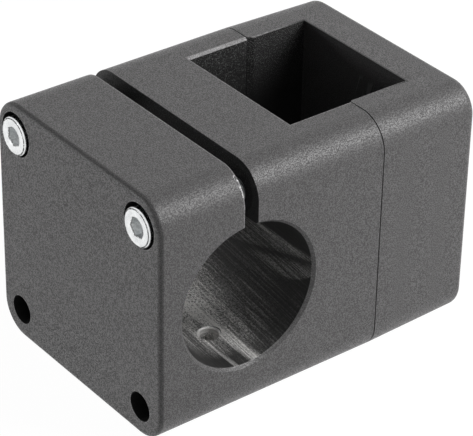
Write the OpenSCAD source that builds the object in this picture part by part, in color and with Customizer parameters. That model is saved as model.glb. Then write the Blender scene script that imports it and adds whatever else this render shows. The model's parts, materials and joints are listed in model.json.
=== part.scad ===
// Two-way tube clamp: a slotted block grips a round tube, and a bolted end cap grips a square tube at right angles.
// Millimetres. X runs from the screw face to the end cap, Y along the round bore, Z up along the square socket.
// The origin is the middle of the base.

/* [Tubes] */
// Diameter of the round tube that the bore grips
round_tube_d = 50; // [42:0.5:54]
// How much wider the round bore is than its tube
bore_play = 0.2; // [0.1:0.1:0.6]
// Chamfer at both mouths of the round bore
bore_chamfer = 1; // [0.4:0.1:1.6]

/* [Block] */
// Width of the block along the round bore
block_w = 87; // [85:1:100]
// Height of the block along the square socket
block_h = 87; // [85:1:100]
// Radius of the four long edges
edge_r = 11; // [6:0.5:14]
// Radius round the screw face
face_r = 1.6; // [0.8:0.1:3]
// Wall between the screw face and the round bore
screw_wall = 8.9; // [8.5:0.1:14]
// Wall between the round bore and the square socket
web = 3.3; // [2:0.1:8]

/* [Square socket] */
// Width of the socket in the main body
socket_w = 52; // [46:0.5:54]
// Width of the socket in the end cap
cap_socket_w = 51; // [46:0.5:54]
// Depth of the socket's half in each piece
socket_half = 23.4; // [20:0.1:26]
// Chamfer round the socket's mouths in the main body
socket_chamfer = 0.8; // [0.4:0.1:1.5]
// Chamfer round the socket's mouths in the end cap, where it meets the seam
cap_socket_chamfer = 0.5; // [0.2:0.1:1.2]
// Gap between the main body and the end cap
seam_gap = 0.4; // [0.2:0.1:1]

/* [End cap] */
// Wall between the square socket and the outer face of the end cap
cap_wall = 15.4; // [13:0.1:22]
// How far each side of the end cap draws in from the seam to its outer face
cap_draft = 0.9; // [0:0.1:1.5]
// Radius round the outer face of the end cap
cap_face_r = 2.5; // [1:0.1:3.5]
// Length of the lead-in at the socket's edges next to the seam
lead_in_l = 2.2; // [1:0.1:4]
// Depth of that lead-in
lead_in_d = 0.8; // [0.3:0.1:1.5]

/* [Clamping slot] */
// Width of the slot
slot_w = 5.2; // [3:0.1:7]

/* [Screws] */
// Thread diameter
screw_d = 8; // [6:1:8]
// Rise of the thread in one turn
screw_pitch = 1.25; // [1:0.05:1.5]
// Length of the clamp screws under the head
clamp_screw_l = 50; // [45:1:52]
// Length of the cap screws under the head
cap_screw_l = 50; // [46:1:55]
// Diameter of the heads
head_d = 13; // [11:0.5:14]
// Height of the heads
head_h = 8; // [6:0.5:9]
// Chamfer round the top of a head
head_chamfer = 0.8; // [0.4:0.1:1.2]
// Size of the hexagon socket across its flats
key_w = 6; // [5:0.5:7]
// Depth of the hexagon socket
key_depth = 4; // [3:0.5:5]
// Gap between a screw and its threaded hole, on the radius
thread_play = 0.05; // [0.02:0.01:0.1]
// How far the heads of the cap screws lie below the outer face of the end cap
head_recess = 0; // [0:0.1:1]
// How far the heads of the clamp screws stand out of the screw face
head_proud = 1; // [0:0.1:1.5]
// How far the clamp screws hang below the middle of their counterbores
screw_sag = 0.5; // [0:0.1:0.6]

/* [Holes] */
// Distance of the screw axes from the sides of the block
hole_inset = 10.5; // [10:0.5:12]
// Gap between a screw and the hole that it passes through, on the radius
hole_play = 1; // [0.6:0.1:1.4]
// Gap between a head and its counterbore, on the radius
head_play = 1; // [0.6:0.1:1.4]
// Diameter of the two locking holes under the round bore
lock_d = 6.8; // [5:0.1:8.5]
// Chamfer at both ends of a locking hole
lock_chamfer = 0.4; // [0.2:0.1:1]
// Distance of the locking holes from the ends of the bore
lock_inset = 20.5; // [19.5:0.5:34]

/* [Hidden] */
$fn = 96;

bore_d = round_tube_d + bore_play;
bore_r = bore_d / 2;
bore_x = screw_wall + bore_r;                     // axis of the round bore, from the screw face
bore_z = block_h / 2;
socket_x0 = screw_wall + bore_d + web;            // inner wall of the square socket
body_l = socket_x0 + socket_half;                 // the main body ends at the seam
cap_x0 = body_l + seam_gap;
socket_x1 = cap_x0 + socket_half;                 // outer wall of the square socket
total_l = socket_x1 + cap_wall;
cap_l = total_l - cap_x0;
slot_x0 = bore_x - slot_w / 2;
slot_x1 = slot_x0 + slot_w;

row_y = block_w / 2 - hole_inset;                 // screw axes, either side of the middle
low_z = hole_inset;
high_z = block_h - hole_inset;
screw_z = high_z - screw_sag;                     // axes of the clamp screws and the threads they share
seat_x0 = head_h - head_proud;                    // under the heads of the clamp screws
seat_x1 = total_l - head_recess - head_h;         // under the heads of the cap screws
head_r = head_d / 2;
screw_r = screw_d / 2;
tip_chamfer = screw_pitch;
key_r = key_w / 2 / cos(30);                      // corners of the hexagon socket
key_mouth = 0.35;                                 // bevel at the mouth of the hexagon socket
clamp_key_turns = [20, 3];                        // how far each hexagon socket is turned, front and back
cap_key_turns = [[12, 41], [27, 55]];             // the same for the top and bottom rows of the end cap
clear_r = screw_r + hole_play;
counterbore_r = head_r + head_play;
cut = 1;                                          // how far the cutting tools run past a face

coat = [0.30, 0.30, 0.31];
zinc = [0.86, 0.87, 0.88];

// Moves from the screw face's own place, where X starts at 0, to the part's origin, midway between the heads of
// the clamp screws and the outer face of the end cap.
module placed() {
    translate([(head_proud - total_l) / 2, 0, 0]) children();
}

// A shape and its mirror image across the middle plane that is square to v.
module both(v) {
    children();
    mirror(v) children();
}

// A drill along X from x0 to x1, at the height z, on the screw row of the +Y side.
module drill(x0, x1, r, z) {
    translate([x0, row_y, z]) rotate([0, 90, 0]) cylinder(r = r, h = x1 - x0);
}

// Half-section of a rounded bar's edge: length along X, height along Y, with its far upper corner rounded by r
// and its top line drawn in by draft over the length.
module edge_section(l, r, draft) {
    a = atan(draft / l);
    cx = l - r;
    cy = edge_r - cx * tan(a) - r / cos(a);
    polygon([[0, 0], [l, 0], [l, cy], [cx, cy], [cx + r * sin(a), cy + r * cos(a)], [0, edge_r]]);
    translate([cx, cy]) circle(r);
}

// A bar along X from 0 to l: its long edges have radius edge_r and its far end face has radius r all round.
// The same edge section is swept along the flats and turned round the corners, so they meet without a step.
module rounded_bar(l, r, draft) {
    flat_w = block_w - 2 * edge_r;
    flat_h = block_h - 2 * edge_r;
    translate([0, 0, block_h / 2]) {
        translate([0, -flat_w / 2, -flat_h / 2]) cube([l, flat_w, flat_h]);
        // top and base
        both([0, 0, 1]) translate([0, flat_w / 2, flat_h / 2]) rotate([90, 0, 0])
            linear_extrude(flat_w) edge_section(l, r, draft);
        // sides
        both([0, 1, 0]) translate([0, flat_w / 2, -flat_h / 2])
            linear_extrude(flat_h) edge_section(l, r, draft);
        // long edges
        both([0, 1, 0]) both([0, 0, 1]) translate([0, flat_w / 2, flat_h / 2])
            rotate([0, 90, 0]) rotate([0, 0, 90]) rotate_extrude(angle = 90)
                rotate([0, 0, 90]) mirror([0, 1, 0]) edge_section(l, r, draft);
    }
}

module round_bore() {
    translate([bore_x, 0, bore_z]) both([0, 1, 0]) rotate([-90, 0, 0]) {
        cylinder(r = bore_r, h = block_w / 2 + cut);
        translate([0, 0, block_w / 2 - bore_chamfer])
            cylinder(r1 = bore_r, r2 = bore_r + bore_chamfer + cut, h = bore_chamfer + cut);
    }
}

module clamping_slot() {
    translate([slot_x0, -block_w / 2 - cut, bore_z]) cube([slot_w, block_w + 2 * cut, block_h]);
}

// The cutter for a chamfered mouth of the square socket: a tapered plug of width w, from the open end at x_open
// to the wall at x_wall. It stands on z = 0 and spreads by h over its height h, past the wall and to both sides.
module socket_mouth(x_open, x_wall, w, h) {
    intersection() {
        translate([0, w / 2 + h, 0]) rotate([90, 0, 0]) linear_extrude(w + 2 * h)
            polygon([[x_open, 0], [x_wall, 0], [x_wall + sign(x_wall - x_open) * h, h], [x_open, h]]);
        rotate([90, 0, 90]) linear_extrude(total_l)
            polygon([[-w / 2, 0], [w / 2, 0], [w / 2 + h, h], [-w / 2 - h, h]]);
    }
}

// The socket's half in the main body, open at the seam.
module body_socket() {
    translate([socket_x0, -socket_w / 2, -cut]) cube([socket_half + cut, socket_w, block_h + 2 * cut]);
    translate([0, 0, block_h / 2]) both([0, 0, 1])
        translate([0, 0, block_h / 2 - socket_chamfer])
            socket_mouth(body_l + cut, socket_x0, socket_w, socket_chamfer + cut);
}

// Clearance holes from the screw face, and threads from the slot to the seam.
module body_screw_holes() {
    both([0, 1, 0]) {
        drill(-cut, slot_x0 + cut, clear_r, high_z);
        drill(-cut, seat_x0, counterbore_r, high_z);
        drill(slot_x1 - cut, body_l + cut, screw_r + thread_play, screw_z);
        drill(-cut, slot_x1, clear_r, low_z);
        drill(slot_x1 - cut, body_l + cut, screw_r + thread_play, low_z);
    }
}

// Two holes for locking screws, from the base into the round bore.
module locking_holes() {
    both([0, 1, 0]) translate([bore_x, block_w / 2 - lock_inset, -cut]) {
        cylinder(d = lock_d, h = bore_z);
        cylinder(d1 = lock_d + 2 * (lock_chamfer + cut), d2 = lock_d, h = lock_chamfer + cut);
        translate([0, 0, cut + bore_z - bore_r - lock_chamfer])
            cylinder(d1 = lock_d, d2 = lock_d + 2 * (lock_chamfer + cut), h = lock_chamfer + cut);
    }
}

module main_body() {
    color(coat) placed() difference() {
        translate([body_l, 0, 0]) mirror([1, 0, 0]) rounded_bar(body_l, face_r, 0);
        round_bore();
        clamping_slot();
        body_socket();
        body_screw_holes();
        locking_holes();
    }
}

// The socket's half in the end cap, with a lead-in where its sides meet the seam.
module cap_socket() {
    w = cap_socket_w / 2;
    translate([cap_x0, 0, -cut]) linear_extrude(block_h + 2 * cut)
        polygon([[-cut, -w - lead_in_d], [0, -w - lead_in_d], [lead_in_l, -w], [socket_half, -w],
                 [socket_half, w], [lead_in_l, w], [0, w + lead_in_d], [-cut, w + lead_in_d]]);
    translate([0, 0, block_h / 2]) both([0, 0, 1])
        translate([0, 0, block_h / 2 - cap_socket_chamfer])
            socket_mouth(cap_x0 - cut, socket_x1, cap_socket_w, cap_socket_chamfer + cut);
}

module end_cap() {
    color(coat) placed() difference() {
        translate([cap_x0, 0, 0]) rounded_bar(cap_l, cap_face_r, cap_draft);
        cap_socket();
        both([0, 1, 0]) for (z = [low_z, screw_z]) {
            drill(cap_x0 - cut, total_l + cut, clear_r, z);
            drill(seat_x1, total_l + cut, counterbore_r, z);
        }
    }
}

// A socket head cap screw along +X: the head's top lies at x = 0 and the shank is l long.
module cap_screw(l, key_turn) {
    rotate([0, 90, 0]) difference() {
        rotate_extrude()
            polygon([[0, 0], [head_r - head_chamfer, 0], [head_r, head_chamfer], [head_r, head_h], [screw_r, head_h],
                     [screw_r, head_h + l - tip_chamfer], [screw_r - tip_chamfer, head_h + l], [0, head_h + l]]);
        translate([0, 0, -cut]) rotate([0, 0, key_turn]) cylinder(r = key_r, h = key_depth + cut, $fn = 6);
        translate([0, 0, -cut]) cylinder(r1 = key_r + cut, r2 = key_r - key_mouth, h = cut + key_mouth);
    }
}

module clamp_screw(side, key_turn) {
    color(zinc) placed() translate([-head_proud, side * row_y, screw_z]) cap_screw(clamp_screw_l, key_turn);
}

module holding_screw(side, z, key_turn) {
    color(zinc) placed() translate([total_l - head_recess, side * row_y, z]) mirror([1, 0, 0])
        cap_screw(cap_screw_l, key_turn);
}

module clamp_screw_front() { clamp_screw(-1, clamp_key_turns[0]); }
module clamp_screw_back() { clamp_screw(1, clamp_key_turns[1]); }
module cap_screw_top_front() { holding_screw(-1, screw_z, cap_key_turns[0][0]); }
module cap_screw_top_back() { holding_screw(1, screw_z, cap_key_turns[0][1]); }
module cap_screw_bottom_front() { holding_screw(-1, low_z, cap_key_turns[1][0]); }
module cap_screw_bottom_back() { holding_screw(1, low_z, cap_key_turns[1][1]); }

main_body();
end_cap();
clamp_screw_front();
clamp_screw_back();
cap_screw_top_front();
cap_screw_top_back();
cap_screw_bottom_front();
cap_screw_bottom_back();
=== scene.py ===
"""Looks of the two-way tube clamp: a powder-coated cast block with a machined round bore and clamping slot,
an end cap over a square socket, and six bright zinc-plated socket head screws. Metres, in the CAD part's own
frame."""
import json
import math

import bpy
from mathutils import Matrix, Vector


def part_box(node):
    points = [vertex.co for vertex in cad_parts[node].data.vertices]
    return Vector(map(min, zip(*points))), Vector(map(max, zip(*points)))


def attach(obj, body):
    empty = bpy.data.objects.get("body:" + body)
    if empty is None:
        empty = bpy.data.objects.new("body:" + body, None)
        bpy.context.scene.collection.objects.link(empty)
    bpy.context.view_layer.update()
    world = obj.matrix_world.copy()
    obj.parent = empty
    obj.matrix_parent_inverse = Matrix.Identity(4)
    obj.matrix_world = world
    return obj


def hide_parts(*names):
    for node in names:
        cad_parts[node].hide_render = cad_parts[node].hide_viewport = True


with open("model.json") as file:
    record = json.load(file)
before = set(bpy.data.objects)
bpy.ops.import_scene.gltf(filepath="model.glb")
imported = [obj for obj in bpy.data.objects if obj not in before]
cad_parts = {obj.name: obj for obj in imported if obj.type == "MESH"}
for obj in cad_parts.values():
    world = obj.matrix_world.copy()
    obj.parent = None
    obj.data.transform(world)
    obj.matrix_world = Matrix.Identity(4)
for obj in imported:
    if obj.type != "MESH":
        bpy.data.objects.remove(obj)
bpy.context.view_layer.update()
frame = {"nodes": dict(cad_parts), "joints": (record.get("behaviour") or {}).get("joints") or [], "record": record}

MM = 0.001
DEG = math.radians(1)

# -----------------------------------------------------------------------------------------------------------
# Sizes
# -----------------------------------------------------------------------------------------------------------
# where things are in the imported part
body_lo, body_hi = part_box("main_body")
cap_lo, cap_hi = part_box("end_cap")
mounts = {m["name"]: m for m in frame["record"]["mounts"]}
joints = {j["name"]: j for j in frame["joints"]}

bore_x, _, bore_z = mounts["round_bore"]["pos_m"]
bore_r = mounts["round_bore"]["dims"]["r_mm"] * MM
lock_r = mounts["locking_hole_front"]["dims"]["r_mm"] * MM
lock_y = mounts["locking_hole_back"]["pos_m"][1]
_, row_y, high_z = joints["clamp_screw_back_turn"]["pos_m"]
low_z = joints["cap_screw_bottom_back_turn"]["pos_m"][2]

# the cast blocks, with the sizes of the CAD source
SLOT_HALF = 2.6 * MM
SOCKET_DEPTH = 23.4 * MM                # of the square socket's half in each piece
BODY_SOCKET_HALF, CAP_SOCKET_HALF = 26 * MM, 25.5 * MM             # half its width
BODY_SOCKET_CHAMFER, CAP_SOCKET_CHAMFER = 0.8 * MM, 0.5 * MM       # round its mouths
CAP_LEAD_IN = 0.8 * MM                  # by which the end cap's half widens next to the seam
COUNTERBORE_R, HOLE_R = 7.5 * MM, 5 * MM
LOCK_CHAMFER = 0.4 * MM
SKIN = 0.05 * MM                        # how far a mask reaches past the surface that it covers

# the screws, with heights measured down from the top of the head
PITCH = 1.25 * MM
HEAD_R, SHANK_R, ROOT_R = 6.5 * MM, 4 * MM, 3.3 * MM
KEY_W, MOUTH_R = 6 * MM, 3.62 * MM      # of the hexagon socket: across its flats, and at its chamfer
GROOVE_R = 6.02 * MM                    # of the fine groove round the top of the head
KNURL_FROM, KNURL_TO, KNURL_DEPTH = 1.15 * MM, 7.2 * MM, 0.22 * MM
THREAD_FROM = 29 * MM
SIDES = 96                              # of the turned shape: the knurl has half as many ridges
SHARP_FROM = 32 * DEG                   # edges that bend less than this are shaded smooth
# how far each hexagon socket is turned, in degrees
HEXAGON_TURNS = {"clamp_screw_front": 20, "clamp_screw_back": 3, "cap_screw_top_front": 12,
                 "cap_screw_top_back": 41, "cap_screw_bottom_front": 27, "cap_screw_bottom_back": 55}

# -----------------------------------------------------------------------------------------------------------
# Nodes written as sums
# -----------------------------------------------------------------------------------------------------------


class Value:
    """A node socket that can be written into sums: every operator adds a Math node."""

    def __init__(self, nodes, socket):
        self.nodes, self.socket = nodes, socket

    def math(self, operation, *values, clamp=False):
        settings = {"operation": operation, "use_clamp": clamp}
        return self.nodes.node("ShaderNodeMath", settings, self, *values)

    def __add__(self, other):
        return self.math("ADD", other)

    def __sub__(self, other):
        return self.math("SUBTRACT", other)

    def __rsub__(self, other):
        return self.nodes.node("ShaderNodeMath", {"operation": "SUBTRACT"}, other, self)

    def __mul__(self, other):
        return self.math("MULTIPLY", other)

    def __truediv__(self, other):
        return self.math("DIVIDE", other)

    def __mod__(self, other):
        return self.math("FLOORED_MODULO", other)

    def __pow__(self, other):
        return self.math("POWER", other)

    def __abs__(self):
        return self.math("ABSOLUTE")

    __radd__ = __add__
    __rmul__ = __mul__

    def greater(self, edge):
        return self.math("GREATER_THAN", edge)

    def less(self, edge):
        return self.math("LESS_THAN", edge)

    def above(self, edge, soft):
        """1 where the value is above edge and 0 below it, with a step as wide as soft."""
        return self.math("MULTIPLY_ADD", 1 / soft, 0.5 - edge / soft, clamp=True)

    def below(self, edge, soft):
        """1 where the value is below edge and 0 above it, with a step as wide as soft."""
        return self.math("MULTIPLY_ADD", -1 / soft, 0.5 + edge / soft, clamp=True)

    def about(self, middle, reach, soft):
        """1 where the value is within reach of middle and 0 elsewhere, with steps as wide as soft."""
        return abs(self - middle).below(reach, soft)


def largest(value, *others):
    for other in others:
        value = value.math("MAXIMUM", other)
    return value


def smallest(value, other):
    return value.math("MINIMUM", other)


def distance(a, b):
    """Distance from an axis, from the distances along two directions that cross it."""
    return (a * a + b * b) ** 0.5


class Nodes:
    """A node tree and the one way to add to it."""

    def __init__(self, tree):
        self.tree = tree

    def feed(self, socket, value):
        """Links an input to another node's output, or gives it a plain value."""
        if isinstance(value, Value):
            self.tree.links.new(value.socket, socket)
        else:
            socket.default_value = value

    def node(self, kind, settings=None, *values, out=0, **named):
        """Adds a node. Settings are its properties, values its inputs in order, and named those by name."""
        made = self.tree.nodes.new(kind)
        for key, value in (settings or {}).items():
            setattr(made, key, value)
        inputs = dict(enumerate(values))
        inputs.update({key.replace("_", " "): value for key, value in named.items()})
        for key, value in inputs.items():
            self.feed(made.inputs[key], value)
        return Value(self, made.outputs[out])

    def parts(self, vector):
        split = self.node("ShaderNodeSeparateXYZ", None, vector).socket.node
        return [Value(self, split.outputs[i]) for i in range(3)]

    def vector(self, x, y, z):
        return self.node("ShaderNodeCombineXYZ", None, x, y, z)


class Shader(Nodes):
    """One material and its nodes."""

    def __init__(self, name):
        self.material = bpy.data.materials.new(name)
        self.material.use_nodes = True
        super().__init__(self.material.node_tree)
        self.tree.nodes.clear()

    def place(self):
        """Object coordinates as a vector, and its three parts."""
        vector = self.node("ShaderNodeTexCoord", out="Object")
        return vector, *self.parts(vector)

    def noise(self, vector, scale, detail=2.0, roughness=0.5):
        return self.node("ShaderNodeTexNoise", Vector=vector, Scale=scale, Detail=detail, Roughness=roughness)

    def mix(self, factor, a, b):
        """A colour between a and b."""
        made = self.node("ShaderNodeMix", {"data_type": "RGBA"}, factor).socket.node
        colour_a, colour_b, colour_out = made.inputs[6], made.inputs[7], made.outputs[2]
        self.feed(colour_a, a)
        self.feed(colour_b, b)
        return Value(self, colour_out)

    def bump(self, height, distance, strength=1.0):
        return self.node("ShaderNodeBump", Height=height, Distance=distance, Strength=strength)

    def principled(self, **named):
        return self.node("ShaderNodeBsdfPrincipled", **named)

    def finish(self, surface):
        out = self.tree.nodes.new("ShaderNodeOutputMaterial")
        self.tree.links.new(surface.socket, out.inputs["Surface"])
        return self.material


def grey(level, tint=(1.0, 1.0, 1.0)):
    return (level * tint[0], level * tint[1], level * tint[2], 1.0)


# -----------------------------------------------------------------------------------------------------------
# Powder coat
# -----------------------------------------------------------------------------------------------------------
COAT_TINT = (1.0, 0.972, 0.981)
COAT_DARK, COAT_LIGHT = grey(0.075, COAT_TINT), grey(0.106, COAT_TINT)       # between and on the grains
# painted highlight along sharp edges, where a rounded edge would catch the light
COAT_EDGE_HIGHLIGHT = grey(0.3, COAT_TINT)                                             # along sharp edges
# painted glint at the slot's front corner
COAT_GLINT = grey(0.9)
# painted shade in the recesses, and the pale grit that shows there
PAINTED_RECESS_SHADE, RECESS_GRIT = grey(0.013), grey(0.2)
GRAINS, PATCHES, SPECKS = 2750, 450, 2900                                    # to the metre


def coat_grain(s, point):
    """The grain of the powder coat, and how light it is on an outer face."""
    # noise is weak in planes a whole number of grains from the origin, so only the base lies in one
    grain = s.noise(point, GRAINS, 1.0, 0.6)
    mottle = s.noise(point, PATCHES, 2.0, 0.55)
    return grain, (grain * 0.8 + mottle * 0.2).above(0.5, 0.3)


def recess_grit(s, point):
    """Pale specks of thin coat in the recesses."""
    return s.noise(point, SPECKS, 1.0, 0.6).above(0.595, 0.04)


def below_faces(z, height):
    """Distance from the nearer of the top and the base."""
    return smallest(z, height - z)


def from_screw_axis(y, z, height):
    """Distance from the nearer screw axis of the row at that height."""
    return distance(abs(y) - row_y, z - height)


def socket_shade(depth, inside, edge):
    """How much shade is painted on the coat in the square socket, below its chamfered edge and more further down,
    and how much grit shows there. The grit thins out towards the middle, and along a line near each mouth."""
    in_socket = inside * depth.above(edge, 0.15 * MM)
    down = depth.above(12 * MM, 26 * MM)
    line = depth.about(6.5 * MM, 0.2 * MM, 0.2 * MM)
    return in_socket * (0.93 + down * 0.06), in_socket * (1 - down) * (1 - line * 0.8)


def coat_shader(s, grain, light, shade, grit):
    """The coat: glossy on the tops of its grain, but dull and dark with pale grit where shade is painted."""
    dark = s.mix(grit, PAINTED_RECESS_SHADE, RECESS_GRIT)
    gloss = (1 - shade) * grain.above(0.51, 0.12)
    return s.principled(Base_Color=s.mix(shade, light, dark), Roughness=0.5, Specular_IOR_Level=0.2,
                        Coat_Weight=gloss, Coat_Roughness=0.42, Normal=s.bump(grain, 0.1 * MM))


def coat_for_cap(name):
    """Anthracite fine-texture powder coat on the end cap."""
    s = Shader(name)
    point, x, y, z = s.place()
    grain, tone = coat_grain(s, point)
    depth = below_faces(z, cap_hi.z)
    inside = x.less(cap_lo.x + SOCKET_DEPTH + CAP_SOCKET_CHAMFER + SKIN)
    inside = inside * abs(y).less(CAP_SOCKET_HALF + CAP_LEAD_IN + 2 * SKIN)
    shade, lit = socket_shade(depth, inside, CAP_SOCKET_CHAMFER - SKIN)

    # painted shade weakens on the socket's end wall towards its middle, and a tube has scratched it below the
    # mouths
    on_side = x.less(cap_lo.x + SOCKET_DEPTH - 2 * SKIN)
    rubbed = depth.above(8 * MM, 3 * MM) * depth.below(16 * MM, 5 * MM)
    rubbed = rubbed * y.above(-13 * MM, 4 * MM) * y.below(1 * MM, 4 * MM)
    upright = s.vector(y + z * 0.25, z * 0.08, 0.0)
    scratch = s.noise(upright, 900, 1.0, 0.6).above(0.54, 0.06) * rubbed
    shade = shade * (1 - (1 - on_side) * (1 - scratch) * depth.above(2 * MM, 14 * MM) * 0.8)
    grit = s.mix(on_side, scratch, lit * recess_grit(s, point))

    # painted shade in the counterbores
    from_axis = smallest(from_screw_axis(y, z, high_z), from_screw_axis(y, z, low_z))
    shade = largest(shade, from_axis.less(COUNTERBORE_R + SKIN))
    return s.finish(coat_shader(s, grain, s.mix(tone, COAT_DARK, COAT_LIGHT), shade, grit))


def coat_for_body(name):
    """The same coat on the main body, where the round bore is machined through it to bare aluminium."""
    s = Shader(name)
    point, x, y, z = s.place()
    grain, tone = coat_grain(s, point)
    depth = below_faces(z, body_hi.z)
    dx, dz = x - bore_x, z - bore_z
    radius = distance(dx, dz)

    # painted shade in the square socket, the screw holes and the slot, and on the rounded edge of the screw face
    inside = x.greater(body_hi.x - SOCKET_DEPTH - SKIN) * abs(y).less(BODY_SOCKET_HALF + SKIN)
    shade, lit = socket_shade(depth, inside, BODY_SOCKET_CHAMFER + SKIN)
    from_counterbore = from_screw_axis(y, z, body_hi.z - low_z) - (COUNTERBORE_R + SKIN)
    from_rim = smallest(from_counterbore, from_screw_axis(y, z, low_z) - (HOLE_R + SKIN))
    slot_side = SLOT_HALF + 0.04 * MM
    in_slot = abs(dx).less(slot_side) * dz.greater(bore_r) * radius.greater(bore_r + 0.1 * MM)
    face_x = body_lo.x + 0.3 * MM
    round_shade = x.above(face_x, 0.4 * MM) * x.below(body_lo.x + 1.5 * MM, 0.6 * MM)
    shade = largest(shade, from_rim.less(0), in_slot * 0.82, round_shade * 0.4)
    # the grit shows more where light reaches, near the top of the slot
    lit = largest(lit * 0.7, in_slot * z.above(body_hi.z - 10 * MM, 14 * MM) * 0.35)

    # the grain stands out more on the screw face, painted for the light that grazes it
    on_face = x.less(face_x)
    tone = tone + on_face * (tone - 0.5) * 2

    # pale painted highlights along the slot's left edge, round the socket's mouths and round the screw face's
    # holes
    thin, soft = 0.3 * MM, 0.2 * MM
    from_slot = -slot_side - dx
    at_slot = from_slot.greater(0) * from_slot.below(thin, soft)
    at_slot = at_slot * radius.greater(bore_r + 0.9 * MM) * dz.greater(0)
    chamfer_x = body_hi.x - SOCKET_DEPTH - BODY_SOCKET_CHAMFER
    from_socket = largest(chamfer_x - x, abs(y) - (BODY_SOCKET_HALF + BODY_SOCKET_CHAMFER))
    at_socket = from_socket.below(thin, soft) * depth.less(BODY_SOCKET_CHAMFER + 3 * SKIN)
    at_rim = on_face * from_rim.greater(0) * from_rim.below(0.22 * MM, 0.15 * MM)
    edge = largest(at_slot, at_socket, at_rim * 0.7)

    # painted glint where the slot's left edge meets the front of the block, beside the lit screw thread
    at_corner = y.below(body_lo.y + 5.2 * MM, 1 * MM) * z.above(body_hi.z - 7.2 * MM, 1 * MM)
    reach = (s.noise(point, 1000, 2.0, 0.7) - 0.4) * 3.6 * MM
    corner_glint = at_corner * from_slot.greater(0) * (reach - from_slot).above(0, 0.15 * MM)
    corner_glint = corner_glint * grain.above(0.48, 0.1) * 0.8

    light = s.mix(tone, COAT_DARK, COAT_LIGHT)
    # the painted edge highlights
    light = s.mix((0.35 + tone * 0.65) * edge, light, COAT_EDGE_HIGHLIGHT)
    light = s.mix(corner_glint, light, COAT_GLINT)
    coat = coat_shader(s, grain, light, shade, lit * recess_grit(s, point))

    # bare in the bore and the locking holes
    from_lock = distance(dx, abs(y) - lock_y) - (lock_r + LOCK_CHAMFER + 0.06 * MM)
    in_lock = from_lock.less(0) * dz.less(0) * radius.greater(bore_r + 0.02 * MM)
    bare = largest(radius.below(bore_r + 0.04 * MM, 0.02 * MM), in_lock)
    metal = turned_metal(s, dx, y, dz, z, in_lock)
    return s.finish(s.node("ShaderNodeMixShader", None, bare, coat, metal))


# -----------------------------------------------------------------------------------------------------------
# Bare metal
# -----------------------------------------------------------------------------------------------------------
METAL_DARK, METAL_LIGHT = grey(0.012), grey(0.92, (1.0, 0.985, 0.965))
ZINC_DARK, ZINC_LIGHT = grey(0.72, (0.97, 0.99, 1.0)), grey(0.94, (0.99, 1.0, 1.0))
# mottled and painted shade in the hexagon socket
ZINC_MOTTLE_AND_SHADE = grey(0.2, (0.94, 0.99, 1.0))
# darker specks at the socket's mouth and in the groove round the head; painted shade in the thread's roots
DARK_AT_MOUTH, GROOVE_SPECKS_AND_ROOT_SHADE = grey(0.05), grey(0.03)


def bore_light(angle, inwards, worn):
    """How light the bore is painted under its lines: all of it painted light and shade. The angle runs round it,
    from the end cap's side over the top, and inwards is the distance from the nearer mouth. A painted pool of
    light brightens the floor away from the mouths. On the end cap's side two bright bands of painted reflection
    curve in from the mouth, with a painted shadow under them and a painted dark reflection over them."""
    slope = 11.5                                    # of the first band, in radians to the metre
    bend, length = 19 * DEG, 7 * MM                 # of the curve under the second
    slant = angle + inwards * slope
    curve = angle - (inwards / -length).math("EXPONENT") * bend
    # two painted reflections, a painted shadow of the rim and a painted dark reflection on the upper wall
    first = slant.above(7.5 * DEG, 3 * DEG) * angle.below(9 * DEG, 3 * DEG)
    second = slant.below(2 * DEG, 4 * DEG) * curve.above(-23 * DEG, 2 * DEG)
    bands = (0.27 + first * 2.0 + second * 1.5) * angle.above(-22 * DEG, 8 * DEG)
    bands = largest(bands, angle.below(-18 * DEG, 8 * DEG))
    rim_shadow = curve.below(-23 * DEG, 2 * DEG) * inwards.below(14 * MM, 12 * MM)
    rim_shadow = rim_shadow * angle.above(-62 * DEG, 14 * DEG)
    dark_reflection = angle.above(10 * DEG, 3 * DEG) * angle.below(80 * DEG, 10 * DEG)
    wall = angle.above(-80 * DEG, 40 * DEG) * bands * (1 - rim_shadow * 0.78) * 0.115
    return (0.014 + wall + worn * 0.85) * (1 - dark_reflection * 0.72)


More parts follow.
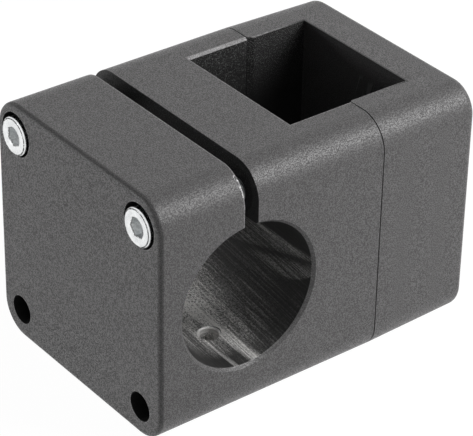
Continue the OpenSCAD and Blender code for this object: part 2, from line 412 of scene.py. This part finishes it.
def turned_metal(s, dx, y, dz, z, in_lock):
    """Bare aluminium: drag lines along the bore, two painted strips of light and a painted pool of light on its
    floor, and cut threads in the locking holes. The distances dx and dz are from the bore's axis."""
    angle = dz.math("ARCTAN2", dx)
    arc = angle * bore_r
    inwards = body_hi.y - abs(y)
    # the noise is stretched along Y, so that it runs in lines, which slant a little
    along = arc - inwards * 0.1
    broad = s.noise(s.vector(along, y * 0.06, 0.0), 330, 2.0, 0.6)
    streak = s.noise(s.vector(along, y * 0.022, 0.0), 1250, 2.0, 0.8)
    fine = s.noise(s.vector(arc, y * 0.45, z), 3000, 2.0, 0.7)
    lines, grit = streak.above(0.54, 0.1), fine.above(0.5, 0.18)

    floor = angle.below(-57 * DEG, 46 * DEG) * angle.above(-112 * DEG, 30 * DEG)
    # painted light on the floor away from the mouths
    worn = floor * inwards.above(20 * MM, 28 * MM)
    scored = 0.35 + lines * 1.2 + broad.above(0.52, 0.25) * 0.35
    scored = (scored + worn * (1 - scored) * 0.5) * (0.32 + grit * 1.45)
    # two painted strips of light along the floor
    floor_light_strips = largest(angle.about(-82 * DEG, 4 * DEG, 3 * DEG), angle.about(-99 * DEG, 1.6 * DEG, 2 * DEG) * 0.6)
    level = bore_light(angle, inwards, worn) * scored + floor_light_strips * (0.25 + lines * 0.4 + grit * 0.3)

    # painted light and shade: the locking holes are bright near the bore and dark below, with painted rings on the
    # thread
    cut = (z / PITCH * math.tau).math("SINE") * in_lock
    bore_floor = bore_z - bore_r
    hole_light = z.above(bore_floor - 2.4 * MM, 3 * MM)
    at_rim = z.above(bore_floor - 0.7 * MM, 0.4 * MM)
    thread = (in_lock * 0.82 + cut * 0.18) * (0.15 + hole_light * 0.85)
    level = level.math("MAXIMUM", thread, clamp=True)

    bare = worn * (1 - in_lock * (1 - at_rim)) * 0.9
    relief = streak * 0.6 + fine * 0.4 + cut * 1.5
    return s.principled(Base_Color=s.mix(level, METAL_DARK, METAL_LIGHT), Roughness=0.48, Metallic=bare,
                        Normal=s.bump(relief, 0.05 * MM, 0.8))


def zinc_plate(name):
    """Bright zinc plate on rolled steel: dull and mottled darker, as painted shade, in the hexagon socket, with
    darker specks at the socket's mouth and in the groove round the head, and painted shade in the roots of the
    thread."""
    s = Shader(name)
    point, x, y, z = s.place()
    cloud = s.noise(point, 420, 3.0, 0.6)
    fine = s.noise(point, 2600, 2.0, 0.6)
    patches = s.noise(point, 900, 3.0, 0.7).above(0.52, 0.12)
    from_row = abs(z - (high_z + low_z) / 2) - (high_z - low_z) / 2
    radius = distance(abs(y) - row_y, from_row)
    down = cap_hi.x - abs(x)

    by_key = radius.less(MOUTH_R + 0.08 * MM)
    in_key = by_key * down.above(0.3 * MM, 0.5 * MM)
    at_mouth = by_key * down.about(0.45 * MM, 0.18 * MM, 0.15 * MM) * fine.above(0.44, 0.1)
    in_groove = radius.about(GROOVE_R, 0.2 * MM, 0.12 * MM) * down.less(0.4 * MM) * fine.above(0.42, 0.14)
    on_thread = down.greater(THREAD_FROM)
    shaded_root = on_thread * radius.below(ROOT_R + 0.2 * MM, 0.3 * MM)

    tone = s.mix(cloud.above(0.5, 0.4), ZINC_DARK, ZINC_LIGHT)
    # mottle and painted shade in the hexagon socket
    tone = s.mix(in_key * patches * 0.3, tone, ZINC_MOTTLE_AND_SHADE)
    # darker specks round the socket's mouth
    tone = s.mix(at_mouth * 0.85, tone, DARK_AT_MOUTH)
    # darker specks in the groove, and painted shade in the roots of the thread
    tone = s.mix(largest(in_groove, shaded_root), tone, GROOVE_SPECKS_AND_ROOT_SHADE)
    return s.finish(s.principled(Base_Color=tone, Roughness=0.2 + cloud * 0.16 + in_key * 0.15,
                                 Metallic=1 - on_thread * 0.75, Normal=s.bump(fine, 0.02 * MM, 0.5)))


def dress(node, material):
    mesh = frame["nodes"][node].data
    mesh.materials.clear()
    mesh.materials.append(material)


dress("main_body", coat_for_body("powder_coat_body"))
dress("end_cap", coat_for_cap("powder_coat_cap"))
zinc = zinc_plate("bright_zinc")

# -----------------------------------------------------------------------------------------------------------
# Screws, turned from a half-section
# -----------------------------------------------------------------------------------------------------------


def half_section(length):
    """The screw's outline as (radius, distance from the top of the head) in millimetres, from the floor of
    its hexagon socket to its tip."""
    key, thread_from, end = KEY_W / 2 / MM, THREAD_FROM / MM, length / MM
    socket = [(0, 4.9), (key - 0.02, 4.0), (key, 3.9), (key, 2.0), (key, 0.42), (MOUTH_R / MM, 0)]
    top_and_groove = [(4.4, 0), (5.7, 0), (5.92, 0.02), (5.98, 0.12), (6.06, 0.12), (6.1, 0.05), (6.2, 0.1)]
    side = [(6.42, 0.36), (6.48, 0.56), (6.5, 0.8), (6.5, 1.2), (6.5, 4.2), (6.5, 7.2), (6.5, 7.3)]
    underside = [(6.44, 7.7), (6.2, 7.95), (5.9, 8.0), (4.35, 8.0), (4.1, 8.06)]
    shank = [(3.99, 8.25), (3.99, 16), (3.99, 26), (3.99, thread_from)]
    step = PITCH / MM / 8
    last = end - 1.1
    thread = [(4.0, thread_from + step * (i + 1)) for i in range(int((last - thread_from) / step))]
    tip = [(3.9, last + 0.1), (3.2, end - 0.3), (2.9, end), (0, end)]

    outline = socket + top_and_groove + side + underside + shank + thread + tip
    mesh = bpy.data.meshes.new("half_section")
    edges = [(i, i + 1) for i in range(len(outline) - 1)]
    mesh.from_pydata([(radius * MM, 0, down * MM) for radius, down in outline], edges, [])
    return mesh


def screw_tree():
    """Turns a half-section into a screw, with its hexagon socket, knurl and thread."""
    tree = bpy.data.node_groups.new("socket_head_screw", "GeometryNodeTree")
    tree.interface.new_socket("Screw", in_out="OUTPUT", socket_type="NodeSocketGeometry")
    kinds = {"Half Section": "Geometry", "Sides": "Int", "Pitch": "Float", "Root Radius": "Float",
             "Thread From": "Float", "Key Across Flats": "Float", "Knurl Depth": "Float", "Turn": "Float",
             "Axis": "Vector", "Place": "Vector", "Finish": "Material"}
    for name, kind in kinds.items():
        tree.interface.new_socket(name, in_out="INPUT", socket_type="NodeSocket" + kind)
    g = Nodes(tree)
    given = tree.nodes.new("NodeGroupInput")
    (section, sides, pitch, root, thread_from, key_w, knurl, turn, axis, place, finish) = (
        Value(g, given.outputs[name]) for name in kinds)

    # a sheet with one row for each point of the half-section
    rows = g.node("GeometryNodeAttributeDomainSize", None, section)
    sheet = g.node("GeometryNodeMeshGrid", None, 1.0, 1.0, sides + 1, rows)
    position = g.node("GeometryNodeInputPosition")
    across, along, _ = g.parts(position)
    angle = (across + 0.5) * math.tau
    row = ((along + 0.5) * (rows - 1)).math("ROUND")
    outline = g.node("GeometryNodeSampleIndex", {"data_type": "FLOAT_VECTOR"}, section, position, row)
    radius, _, down = g.parts(outline)

    # hexagon socket: the rows down its walls are moved out from a circle to the hexagon round it
    in_key = radius.less(key_w * 0.503) * radius.greater(key_w * 0.1) * down.less(4.5 * MM)
    sector = (angle + math.pi / 6) % (math.pi / 3) - math.pi / 6
    hexagon = radius / sector.math("COSINE")
    radius = radius + in_key * (hexagon - radius)

    # knurl
    on_knurl = down.greater(KNURL_FROM) * down.less(KNURL_TO) * radius.greater(HEAD_R * 0.99)
    radius = radius - on_knurl * knurl * ((angle * sides / 2).math("COSINE") * 0.5 + 0.5)

    # thread, which fades in over its first turn
    on_thread = down.greater(thread_from) * radius.greater(root)
    rise = (down / pitch - angle / math.tau) % 1.0
    crest = (abs(rise - 0.5) * 2.0).above(0.5, 0.75)
    depth = (SHANK_R - root) * smallest((down - thread_from) / pitch, 1.0)
    radius = radius - on_thread * (1 - crest) * depth

    # turned round, closed and put in its place
    turned = angle + turn
    side_y, side_z = radius * turned.math("SINE"), radius * turned.math("COSINE")
    sign, _, _ = g.parts(axis)
    point = g.vector(down * sign, side_y * sign, side_z * -1.0)
    shaped = g.node("GeometryNodeSetPosition", None, sheet, True, point)
    closed = g.node("GeometryNodeMergeByDistance", None, shaped, True, 0.004 * MM)
    put = g.node("GeometryNodeTransform", None, closed, place)
    real = g.node("GeometryNodeRealizeInstances", None, put)
    done = g.node("GeometryNodeSetMaterial", None, real, True, finish)
    out = tree.nodes.new("NodeGroupOutput")
    tree.links.new(done.socket, out.inputs[0])
    return tree


def add_object(name, data):
    made = bpy.data.objects.new(name, data)
    bpy.context.scene.collection.objects.link(made)
    return made


def plain_mesh(made, name):
    """The evaluated object as a plain mesh object, with its modifiers gone."""
    bpy.context.view_layer.update()
    graph = bpy.context.evaluated_depsgraph_get()
    mesh = bpy.data.meshes.new_from_object(made.evaluated_get(graph))
    bpy.data.objects.remove(made)
    mesh.name = name
    return add_object(name, mesh)


def make_screws():
    """Turns the six screws, each in place of its plain solid."""
    tree = screw_tree()
    inputs = {item.name: item.identifier for item in tree.interface.items_tree if item.in_out == "INPUT"}
    for body, hexagon_turn in HEXAGON_TURNS.items():
        low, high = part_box(body)
        _, y, z = joints[body + "_turn"]["pos_m"]
        inward = 1 if body.startswith("clamp") else -1        # which way the screw points along X
        blank = add_object("blank", half_section(high.x - low.x))
        turning = blank.modifiers.new("turning", "NODES")
        turning.node_group = tree
        values = {"Sides": SIDES, "Pitch": PITCH, "Root Radius": ROOT_R, "Thread From": THREAD_FROM,
                  "Key Across Flats": KEY_W, "Knurl Depth": KNURL_DEPTH,
                  "Turn": (hexagon_turn * inward - 30) * DEG, "Axis": (inward, 0, 0),
                  "Place": (low.x if inward > 0 else high.x, y, z), "Finish": zinc}
        for name, value in values.items():
            turning[inputs[name]] = value
        piece = plain_mesh(blank, body + "_turned")
        piece.data.shade_smooth()
        piece.data.set_sharp_from_angle(angle=SHARP_FROM)
        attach(piece, body)
        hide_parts(body)


make_screws()

# -----------------------------------------------------------------------------------------------------------
# Floor, light and camera
# -----------------------------------------------------------------------------------------------------------
AIM = Vector((-0.69, -1.41, 40.56)) * MM            # what the camera and the lamps point at
LAMP_DISTANCE = 1.2


def seen(s):
    """1 for the rays that see the background: from the camera, from a mirror and through glass."""
    rays = s.tree.nodes.new("ShaderNodeLightPath")
    names = "Is Camera Ray", "Is Glossy Ray", "Is Transmission Ray"
    camera, glossy, through = (Value(s, rays.outputs[name]) for name in names)
    return (camera + glossy).math("ADD", through, clamp=True)


def make_floor():
    """A pale floor, which looks white to the camera and still shows a faint shadow."""
    half = 3.0
    mesh = bpy.data.meshes.new("floor")
    corners = [(-half, -half, 0), (half, -half, 0), (half, half, 0), (-half, half, 0)]
    mesh.from_pydata(corners, [], [(0, 1, 2, 3)])
    floor = add_object("floor", mesh)
    s = Shader("pale_floor")
    plain = s.node("ShaderNodeBsdfDiffuse", Color=grey(0.8))
    white = s.node("ShaderNodeEmission", Color=grey(1.0), Strength=1.085)
    mesh.materials.append(s.finish(s.node("ShaderNodeMixShader", None, seen(s) * 0.9, plain, white)))


def make_world():
    """White where it is seen, and only a little light from all round."""
    world = bpy.data.worlds.new("studio")
    bpy.context.scene.world = world
    world.use_nodes = True
    w = Nodes(world.node_tree)
    w.tree.nodes.clear()
    around = w.node("ShaderNodeBackground", Color=grey(1.0), Strength=0.06)
    white = w.node("ShaderNodeBackground", Color=grey(1.0), Strength=1.0)
    both = w.node("ShaderNodeMixShader", None, seen(w), around, white)
    w.tree.links.new(both.socket, w.tree.nodes.new("ShaderNodeOutputWorld").inputs["Surface"])


def soft_box(name, bearing, height, size, power):
    """A round lamp that points at the part. Its bearing, from the front towards the end cap, and its height
    above the floor are in degrees."""
    light = bpy.data.lights.new(name, "AREA")
    light.shape, light.size, light.energy = "DISK", size, power
    lamp = add_object(name, light)
    bearing, height = bearing * DEG, height * DEG
    towards = Vector((math.sin(bearing) * math.cos(height), -math.cos(bearing) * math.cos(height),
                      math.sin(height)))
    lamp.location = AIM + towards * LAMP_DISTANCE
    lamp.rotation_euler = towards.to_track_quat("Z", "Y").to_euler()
    return lamp


def make_camera():
    """Seen from the left of the front face and above it, with a slight roll."""
    bearing, height, roll, away = 38.208 * DEG, 32.045 * DEG, 1.118 * DEG, 781.84 * MM
    ahead = Vector((math.sin(bearing) * math.cos(height), math.cos(bearing) * math.cos(height),
                    -math.sin(height)))
    level_right = ahead.cross(Vector((0, 0, 1))).normalized()
    level_up = level_right.cross(ahead)
    right = level_right * math.cos(roll) + level_up * math.sin(roll)
    up = right.cross(ahead)
    data = bpy.data.cameras.new("camera")
    data.sensor_width, data.lens = 36, 183.70
    data.clip_start, data.clip_end = 0.01, 20
    camera = add_object("camera", data)
    camera.matrix_world = Matrix((right, up, -ahead)).transposed().to_4x4()
    camera.location = AIM - ahead * away
    bpy.context.scene.camera = camera


make_floor()
make_world()
soft_box("key_right_front", 45, 43, 0.6, 6.3)
soft_box("second_right_front", 45, 29, 0.5, 4.2)
fill = soft_box("fill_right_front", 45, 20, 0.5, 3.5)
fill.visible_glossy = False                         # or the top face would glare when it is seen from behind
soft_box("low_left_back", 240, 6, 0.2, 2.8)
make_camera()
bpy.context.scene.view_settings.view_transform = "Standard"
